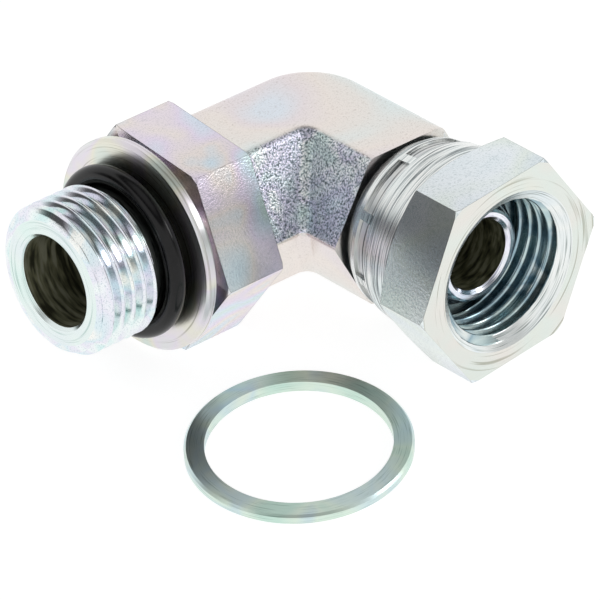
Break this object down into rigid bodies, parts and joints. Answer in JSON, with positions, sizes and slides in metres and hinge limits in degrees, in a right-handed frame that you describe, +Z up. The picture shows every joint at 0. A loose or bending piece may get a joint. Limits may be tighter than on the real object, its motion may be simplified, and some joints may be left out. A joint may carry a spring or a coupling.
{
  "type": "adjustable elbow fitting",
  "caption": "Right-angle hydraulic elbow with an adjustable parallel-thread stud, lock nut, washer, O-ring and swivel nut; its retaining ring lies beside it.",
  "frame": {"origin": "middle of the footprint, on the floor that the fitting and its loose ring lie on", "axes": "+Z up from the floor. The stud points along -X and climbs 6.38 degrees to its tip; the swivel end points along -Y and climbs 3.81 degrees, because the fitting lies on the heel of its bend and on its two nuts"},
  "size_m": [0.0626, 0.0626, 0.0294],
  "materials": {
    "forged_steel": "zinc plated forged steel, shot-blasted grain inside the bend",
    "nut_steel": "zinc plated turned steel with a faint iridescent passivation",
    "washer_steel": "zinc plated flat steel, slightly greenish",
    "rubber": "smooth black nitrile rubber"
  },
  "bodies": {
    "elbow": {"elbow_body": "forged_steel", "o_ring": "rubber", "retaining_ring": "washer_steel"},
    "washer": {"backup_washer": "washer_steel"},
    "lock_nut": {"lock_nut": "nut_steel"},
    "swivel_nut": {"swivel_nut": "nut_steel"}
  },
  "joints": [
    {"name": "washer_slide", "type": "slide", "parent": "elbow", "child": "washer", "axis": [-0.9938, 0, 0.1111], "range_m": [0, 0.0007]},
    {"name": "lock_nut_turn", "type": "hinge", "parent": "washer", "child": "lock_nut", "pos_m": [-0.00844, 0.0157, 0.01421], "axis": [-0.9938, 0, 0.1111], "range_deg": [0, 138]},
    {"name": "swivel_turn", "type": "hinge", "parent": "elbow", "child": "swivel_nut", "pos_m": [0.01563, -0.01423, 0.01354], "axis": [0.0074, -0.9978, 0.0664], "continuous": true}
  ],
  "couplings": [
    {"joint": "washer_slide", "follows": "lock_nut_turn", "m_per_rad": 0.00028871}
  ]
}
